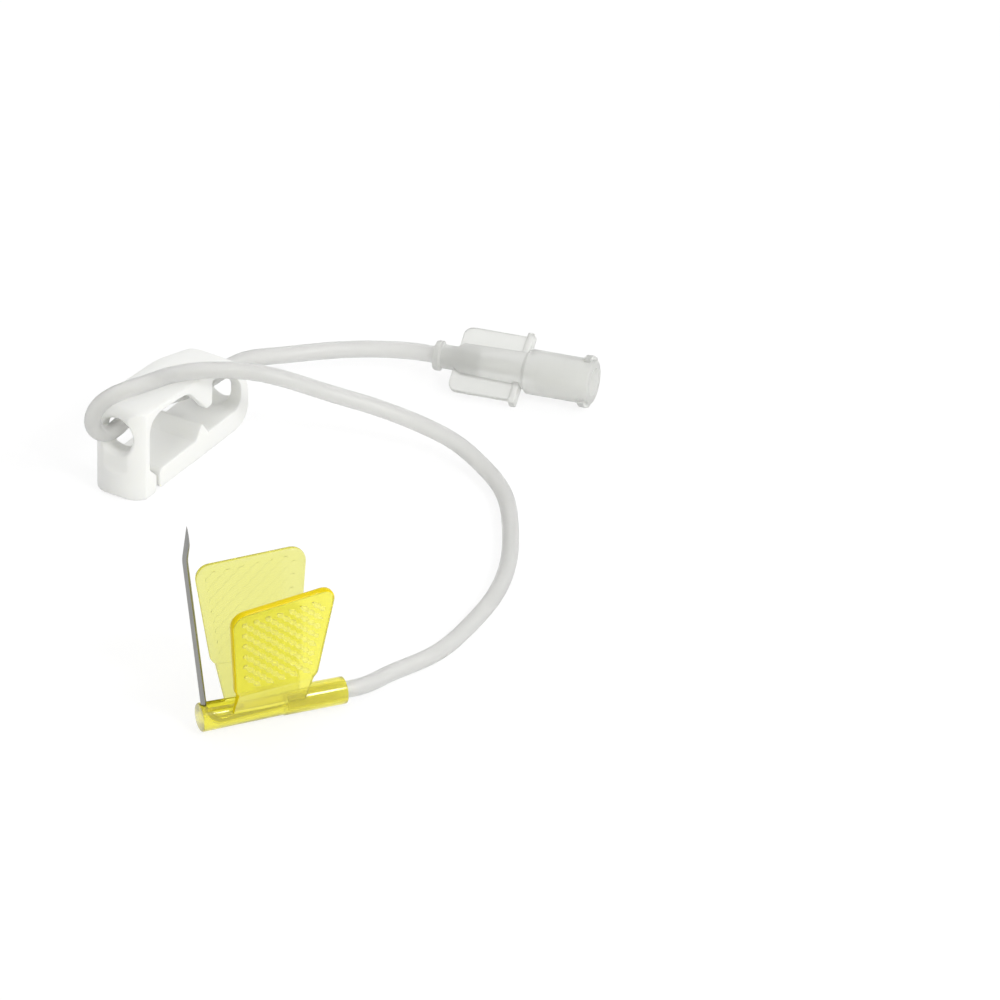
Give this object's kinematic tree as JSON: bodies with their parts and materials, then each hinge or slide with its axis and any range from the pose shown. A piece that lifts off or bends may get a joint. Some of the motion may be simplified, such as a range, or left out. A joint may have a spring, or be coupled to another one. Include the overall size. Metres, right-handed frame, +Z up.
{
  "type": "huber needle",
  "caption": "Winged non-coring infusion needle set: a bent hollow needle in a folding-wing hub, with an extension tube, a pinch clamp and a conical connector.",
  "frame": {"origin": "on the table, under the middle of the box round the hub with its needle, the clamp and the connector; the free tube is not counted", "axes": "+Z up out of the table that the set lies on; +Y runs from the needle end towards the clamp and connector; +X runs from the clamp side to the connector side"},
  "size_m": [0.0757, 0.1104, 0.0354],
  "materials": {
    "cannula": "bright drawn stainless steel",
    "winged_hub": "glossy translucent yellow moulding",
    "extension_tube": "soft frosted clear tube",
    "pinch_clamp": "satin opaque white moulding",
    "tube_connector": "frosted clear moulding"
  },
  "bodies": {
    "root": {"cannula": "cannula", "winged_hub": "winged_hub", "extension_tube": "extension_tube", "pinch_clamp": "pinch_clamp", "tube_connector": "tube_connector"}
  },
  "joints": []
}
